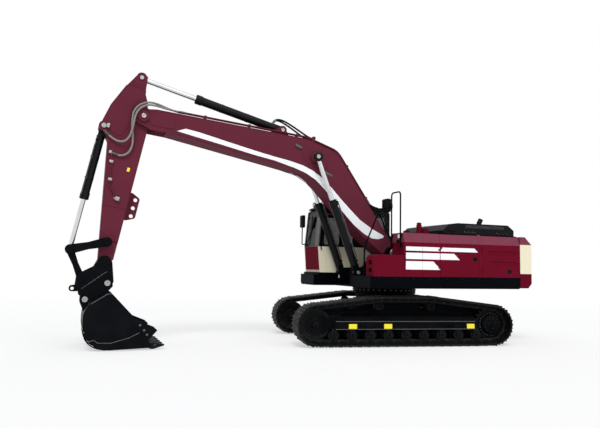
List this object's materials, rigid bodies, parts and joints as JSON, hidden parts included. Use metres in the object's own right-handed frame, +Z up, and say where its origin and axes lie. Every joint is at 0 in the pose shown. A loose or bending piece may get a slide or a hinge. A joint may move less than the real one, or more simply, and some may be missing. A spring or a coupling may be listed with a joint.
{
  "type": "crawler excavator",
  "caption": "Hydraulic crawler excavator with swinging house, cab, boom, arm, quick coupler and bucket, service doors and a hinged engine hood.",
  "frame": {"origin": "on the ground under the swing axis", "axes": "+X towards the bucket, +Y towards the side with the tanks, +Z up"},
  "size_m": [10.774, 3.9124, 5.7501],
  "materials": {
    "burgundy_paint": "gloss paint, worn at edges",
    "black_paint": "satin paint, dusty",
    "track_steel": "bare, worn and dusty",
    "grey_metal": "satin",
    "chrome": "polished",
    "glass": "clear, lightly tinted",
    "hose_rubber": "matt, dusty",
    "seat_fabric": "woven",
    "black_plastic": "matt"
  },
  "bodies": {
    "undercarriage": {"car_body": "black_paint", "slew_ring": "grey_metal", "track_frames": "black_paint", "track_near": "track_steel", "track_far": "track_steel", "idlers": "track_steel", "sprockets": "track_steel", "final_drives": "black_paint", "carrier_rollers": "track_steel", "track_rollers": "track_steel"},
    "house": {"main_frame": "black_paint", "deck_rim": "black_paint", "house_frame": "black_paint", "counterweight": "burgundy_paint", "toolbox": "burgundy_paint", "fuel_tank": "burgundy_paint", "hydraulic_tank": "burgundy_paint", "engine": "grey_metal", "handrails": "black_paint", "mirrors": "black_plastic", "work_lamps": "black_plastic", "cab_base": "black_paint", "cab_frame": "black_paint", "cab_roof": "black_paint", "cab_front_panel": "burgundy_paint", "cab_glass": "glass", "cab_interior": "black_plastic", "seat": "seat_fabric"},
    "cab_door": {"cab_door": "black_paint", "cab_door_glass": "glass"},
    "hood": {"hood": "black_paint", "exhaust_stack": "grey_metal"},
    "near_front_door": {"near_front_door": "burgundy_paint"},
    "near_rear_door": {"near_rear_door": "burgundy_paint"},
    "far_front_door": {"far_front_door": "burgundy_paint"},
    "far_rear_door": {"far_rear_door": "burgundy_paint"},
    "boom": {"boom": "burgundy_paint", "boom_pipes": "grey_metal", "cylinder_hose": "hose_rubber", "pipe_hose": "hose_rubber", "foot_hose_near": "hose_rubber", "foot_hose_mid": "hose_rubber", "arm_cylinder_hose_near": "hose_rubber", "arm_cylinder_hose_far": "hose_rubber"},
    "boom_barrels": {"boom_barrels": "black_paint"},
    "boom_rods": {"boom_rods": "chrome"},
    "arm": {"arm": "burgundy_paint"},
    "arm_barrel": {"arm_barrel": "black_paint"},
    "arm_rod": {"arm_rod": "chrome"},
    "tipping_links": {"tipping_links": "black_paint"},
    "h_link": {"h_link": "black_paint"},
    "bucket_barrel": {"bucket_barrel": "black_paint"},
    "bucket_rod": {"bucket_rod": "chrome"},
    "bucket": {"coupler": "black_paint", "bucket": "black_paint", "bucket_teeth": "track_steel"}
  },
  "joints": [
    {"name": "swing", "type": "hinge", "parent": "undercarriage", "child": "house", "pos_m": [0, 0, 1.2], "axis": [0, 0, 1], "continuous": true},
    {"name": "boom_lift", "type": "hinge", "parent": "house", "child": "boom", "pos_m": [-0.05, 0, 2.05], "axis": [0, -1, 0], "range_deg": [-55, 33], "deforming": ["foot_hose_near", "foot_hose_mid"]},
    {"name": "arm_crowd", "type": "hinge", "parent": "boom", "child": "arm", "pos_m": [5.86439, 0, 4.77032], "axis": [0, 1, 0], "range_deg": [-78, 42], "deforming": ["cylinder_hose", "pipe_hose"]},
    {"name": "bucket_curl", "type": "hinge", "parent": "arm", "child": "bucket", "pos_m": [6.50957, 0, 1.68199], "axis": [0, 1, 0], "range_deg": [-100, 60]},
    {"name": "boom_barrel_turn", "type": "hinge", "parent": "house", "child": "boom_barrels", "pos_m": [0.947, 0, 1.574], "axis": [0, -1, 0], "range_deg": [-60, 36]},
    {"name": "boom_rod_slide", "type": "slide", "parent": "boom_barrels", "child": "boom_rods", "axis": [0.3631, 0, 0.9317], "range_m": [-0.93, 0.56]},
    {"name": "arm_barrel_turn", "type": "hinge", "parent": "boom", "child": "arm_barrel", "pos_m": [2.71998, 0, 4.81991], "axis": [0, 1, 0], "range_deg": [-2, 2]},
    {"name": "arm_rod_slide", "type": "slide", "parent": "arm_barrel", "child": "arm_rod", "axis": [0.9686, 0, 0.2486], "range_m": [-1, 0.54]},
    {"name": "bucket_barrel_turn", "type": "hinge", "parent": "arm", "child": "bucket_barrel", "pos_m": [6.64405, 0, 4.51026], "axis": [0, 1, 0], "range_deg": [-2, 2]},
    {"name": "bucket_rod_slide", "type": "slide", "parent": "bucket_barrel", "child": "bucket_rod", "axis": [0.2048, 0, -0.9788], "range_m": [-0.8, 0.48]},
    {"name": "tipping_link_turn", "type": "hinge", "parent": "arm", "child": "tipping_links", "pos_m": [6.48192, 0, 2.11754], "axis": [0, 1, 0], "range_deg": [-77, 46]},
    {"name": "h_link_turn", "type": "hinge", "parent": "bucket", "child": "h_link", "pos_m": [6.93557, 0, 1.36099], "axis": [0, 1, 0], "range_deg": [-44, 73]},
    {"name": "cab_door_hinge", "type": "hinge", "parent": "house", "child": "cab_door", "pos_m": [0.4325, -1.512, 2.35], "axis": [0, 0, -1], "range_deg": [0, 170]},
    {"name": "hood_hinge", "type": "hinge", "parent": "house", "child": "hood", "pos_m": [-1.008, 0, 2.512], "axis": [0, 1, 0], "range_deg": [0, 60]},
    {"name": "near_front_door_hinge", "type": "hinge", "parent": "house", "child": "near_front_door", "pos_m": [-0.5975, 1.512, 1.9], "axis": [0, 0, -1], "range_deg": [0, 100]},
    {"name": "near_rear_door_hinge", "type": "hinge", "parent": "house", "child": "near_rear_door", "pos_m": [-1.7345, 1.512, 1.9], "axis": [0, 0, -1], "range_deg": [0, 100]},
    {"name": "far_front_door_hinge", "type": "hinge", "parent": "house", "child": "far_front_door", "pos_m": [-0.5975, -1.512, 1.9], "axis": [0, 0, 1], "range_deg": [0, 100]},
    {"name": "far_rear_door_hinge", "type": "hinge", "parent": "house", "child": "far_rear_door", "pos_m": [-1.7345, -1.512, 1.9], "axis": [0, 0, 1], "range_deg": [0, 100]}
  ],
  "couplings": [
    {"joint": "boom_barrel_turn", "follows": "boom_lift", "ratio": 1.05},
    {"joint": "boom_rod_slide", "follows": "boom_lift", "m_per_rad": 0.945},
    {"joint": "arm_barrel_turn", "follows": "arm_crowd", "ratio": 0.01},
    {"joint": "arm_rod_slide", "follows": "arm_crowd", "m_per_rad": 0.7105},
    {"joint": "bucket_barrel_turn", "follows": "bucket_curl", "ratio": 0.01},
    {"joint": "bucket_rod_slide", "follows": "bucket_curl", "m_per_rad": 0.447},
    {"joint": "tipping_link_turn", "follows": "bucket_curl", "ratio": 0.76},
    {"joint": "h_link_turn", "follows": "bucket_curl", "ratio": -0.72}
  ]
}
